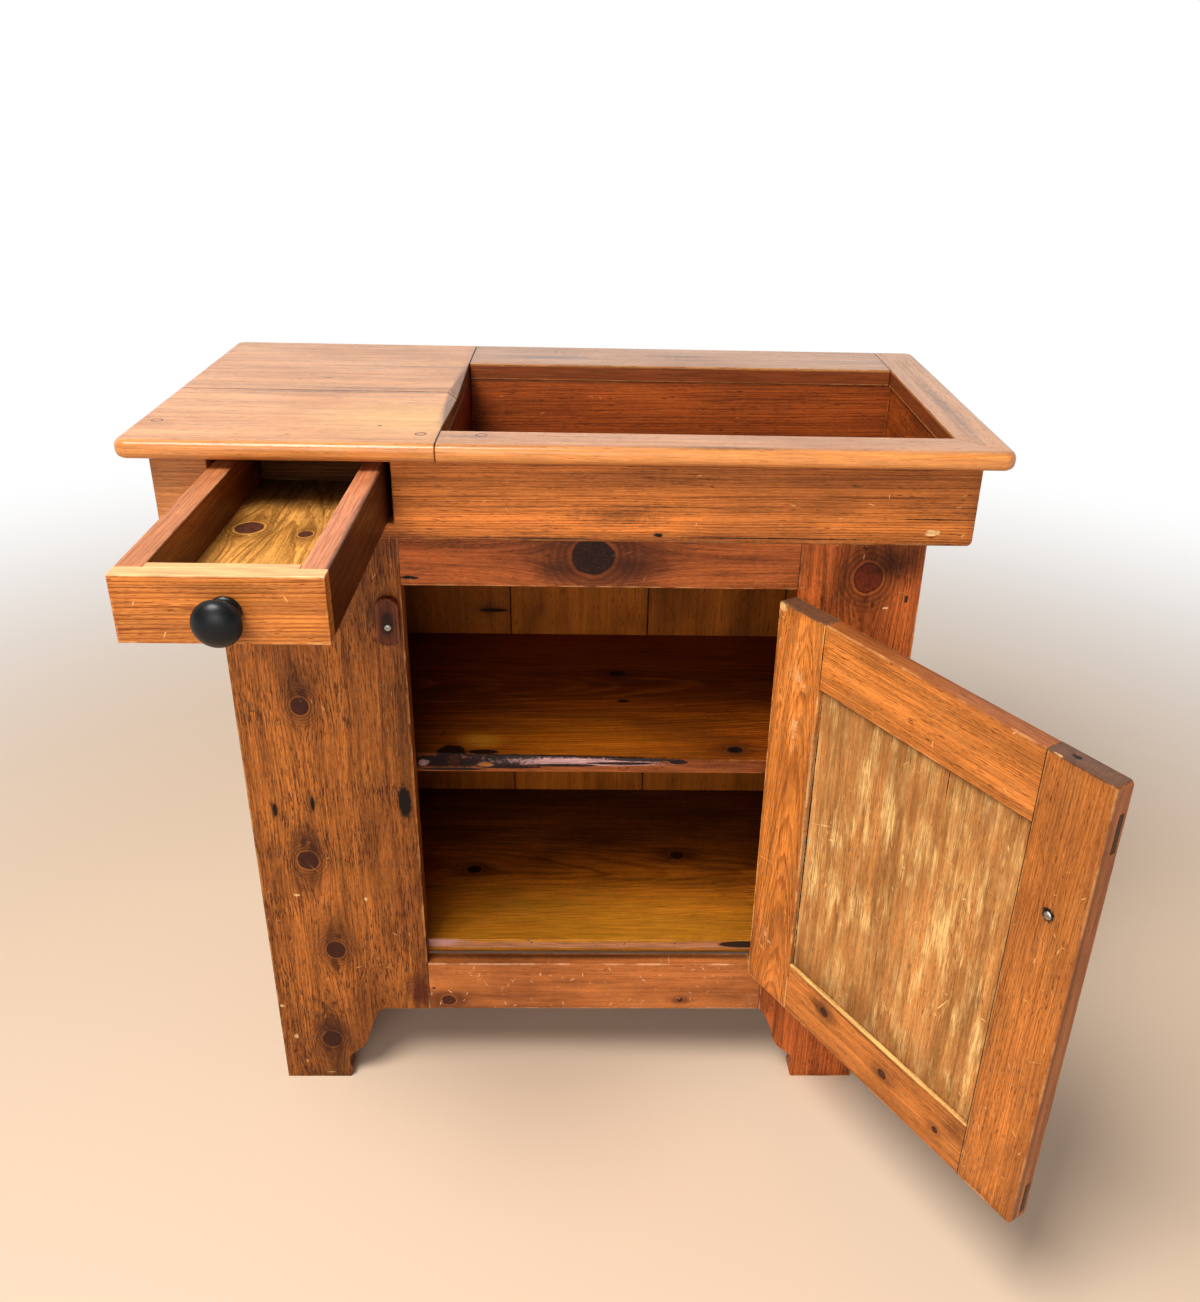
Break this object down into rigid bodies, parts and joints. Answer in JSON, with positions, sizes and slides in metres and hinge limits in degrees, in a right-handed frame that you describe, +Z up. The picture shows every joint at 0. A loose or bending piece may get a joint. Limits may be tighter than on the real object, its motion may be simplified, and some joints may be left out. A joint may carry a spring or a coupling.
{
  "type": "dry sink cabinet",
  "caption": "Small pine dry sink: lidded top over a drawer, open well beside it, and a shelved cupboard with a panelled door below.",
  "frame": {"origin": "on the floor, under the middle of the outline that the cabinet has with its drawer pulled out and its door open", "axes": "+X to the right as the front is seen, +Y from the front towards the wall, +Z up"},
  "size_m": [0.9676, 0.8021, 0.941],
  "materials": {
    "top_pine": "worn satin varnish on orange tan pine",
    "case_pine": "worn satin varnish on red brown pine with dark knots",
    "inside_pine": "old matt varnish on olive gold pine",
    "door_pine": "satin varnish on red orange pine",
    "panel_pine": "matt grey tan pine with rubbed pale streaks",
    "drawer_pine": "satin varnish on orange pine",
    "drawer_bottom_pine": "satin varnish on golden pine with wild grain",
    "dark_wood": "dark brown satin stain",
    "black_wood": "black satin paint",
    "hinge_iron": "dark worn iron",
    "screw_steel": "dulled steel"
  },
  "bodies": {
    "cabinet": {"top_front_board": "top_pine", "top_back_board": "top_pine", "rim_front": "top_pine", "rim_right": "top_pine", "rim_back": "top_pine", "apron_front": "case_pine", "apron_left": "case_pine", "apron_right": "case_pine", "box_back": "inside_pine", "drawer_runway": "inside_pine", "well_floor_front": "inside_pine", "well_floor_middle": "inside_pine", "well_floor_back": "inside_pine", "well_divider": "inside_pine", "well_back_wall": "inside_pine", "drawer_guide_left": "inside_pine", "drawer_guide_right": "inside_pine", "drawer_kicker_left": "inside_pine", "drawer_kicker_right": "inside_pine", "drawer_stop": "inside_pine", "side_left": "case_pine", "side_right": "case_pine", "stile_left": "case_pine", "stile_right": "case_pine", "top_rail": "case_pine", "bottom_rail": "case_pine", "shelf": "inside_pine", "cupboard_floor": "inside_pine", "shelf_cleat_left": "inside_pine", "shelf_cleat_right": "inside_pine", "floor_cleat_left": "inside_pine", "floor_cleat_right": "inside_pine", "back_board_1": "inside_pine", "back_board_2": "inside_pine", "back_board_3": "inside_pine", "back_board_4": "inside_pine", "back_board_5": "inside_pine", "hinge_top_frame_leaf": "hinge_iron", "hinge_top_pin": "hinge_iron", "hinge_bottom_frame_leaf": "hinge_iron", "hinge_bottom_pin": "hinge_iron", "turn_button_screw": "screw_steel"},
    "door": {"door_hinge_stile": "door_pine", "door_lock_stile": "door_pine", "door_top_rail": "door_pine", "door_bottom_rail": "door_pine", "door_panel": "panel_pine", "door_knob": "black_wood", "door_knob_screw": "screw_steel", "hinge_top_door_leaf": "hinge_iron", "hinge_bottom_door_leaf": "hinge_iron"},
    "drawer": {"drawer_front": "drawer_pine", "drawer_side_left": "drawer_pine", "drawer_side_right": "drawer_pine", "drawer_back": "drawer_pine", "drawer_bottom": "drawer_bottom_pine", "drawer_knob": "black_wood", "drawer_knob_screw": "screw_steel"},
    "turn_button": {"turn_button": "dark_wood"}
  },
  "joints": [
    {"name": "door_hinge", "type": "hinge", "parent": "cabinet", "child": "door", "pos_m": [0.2352, -0.0069, 0.4815], "axis": [0, 0, 1], "range_deg": [-121.6, 53.4]},
    {"name": "drawer_slide", "type": "slide", "parent": "cabinet", "child": "drawer", "axis": [0, -1, 0], "range_m": [-0.293, 0.04]},
    {"name": "turn_button_pivot", "type": "hinge", "parent": "cabinet", "child": "turn_button", "pos_m": [-0.2303, -0.0088, 0.7095], "axis": [0, 1, 0], "continuous": true}
  ]
}
